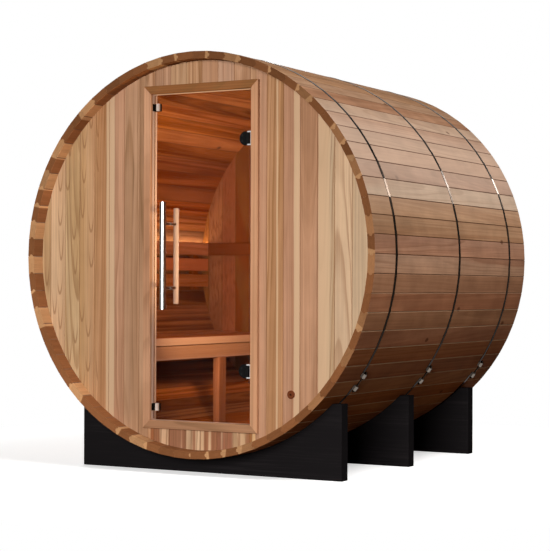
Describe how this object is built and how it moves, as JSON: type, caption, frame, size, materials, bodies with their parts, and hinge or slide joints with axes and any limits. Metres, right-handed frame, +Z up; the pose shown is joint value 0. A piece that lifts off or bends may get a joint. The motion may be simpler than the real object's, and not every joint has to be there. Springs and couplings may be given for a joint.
{
  "type": "barrel sauna",
  "caption": "Barrel sauna of round-jointed wooden staves held by steel bands, with a swinging glass door in the front wall and an inside bench, resting on dark cradles.",
  "frame": {"origin": "on the ground under the middle of the barrel", "axes": "+Z up, the door end faces -Y, the barrel's axis lies along Y"},
  "size_m": [1.909, 1.83, 1.9844],
  "materials": {
    "stave_wood": "planed softwood",
    "wall_boards": "planed softwood",
    "trim_wood": "planed softwood",
    "black_timber": "black stain",
    "band_steel": "dark polished steel",
    "bench_wood": "planed softwood",
    "light": "frosted light strip",
    "grommet": "moulded",
    "black_metal": "black coat",
    "bright_metal": "polished",
    "door_glass": "bronze toned",
    "grip_wood": "turned softwood"
  },
  "bodies": {
    "barrel": {"staves_top_right": "stave_wood", "staves_upper_right": "stave_wood", "staves_lower_right": "stave_wood", "staves_bottom_right": "stave_wood", "staves_bottom_left": "stave_wood", "staves_lower_left": "stave_wood", "staves_upper_left": "stave_wood", "staves_top_left": "stave_wood", "front_wall_left": "wall_boards", "front_wall_right": "wall_boards", "front_wall_header": "wall_boards", "front_wall_sill": "wall_boards", "back_wall": "wall_boards", "door_lining": "trim_wood", "door_casing": "trim_wood", "cradle_front": "black_timber", "cradle_middle": "black_timber", "cradle_rear": "black_timber", "band_front": "band_steel", "band_middle": "band_steel", "band_rear": "band_steel", "tension_lugs": "bright_metal", "tension_screws": "bright_metal", "bench_seat": "bench_wood", "bench_apron": "bench_wood", "bench_leg": "bench_wood", "bench_bearers": "bench_wood", "backrest_slats": "bench_wood", "backrest_uprights": "bench_wood", "back_wall_rail": "bench_wood", "light_strip": "light", "cable_grommet": "grommet", "hinge_brackets": "bright_metal", "catch_plates": "bright_metal", "catch_magnets": "black_metal"},
    "door": {"door_glass": "door_glass", "hinge_clamps": "black_metal", "catch_strikes": "bright_metal", "outer_handle": "bright_metal", "inner_handle": "grip_wood", "handle_posts": "bright_metal"}
  },
  "joints": [
    {"name": "door_swing", "type": "hinge", "parent": "barrel", "child": "door", "pos_m": [0.265, -0.845, 1.02294], "axis": [0, 0, 1], "range_deg": [0, 90]}
  ]
}
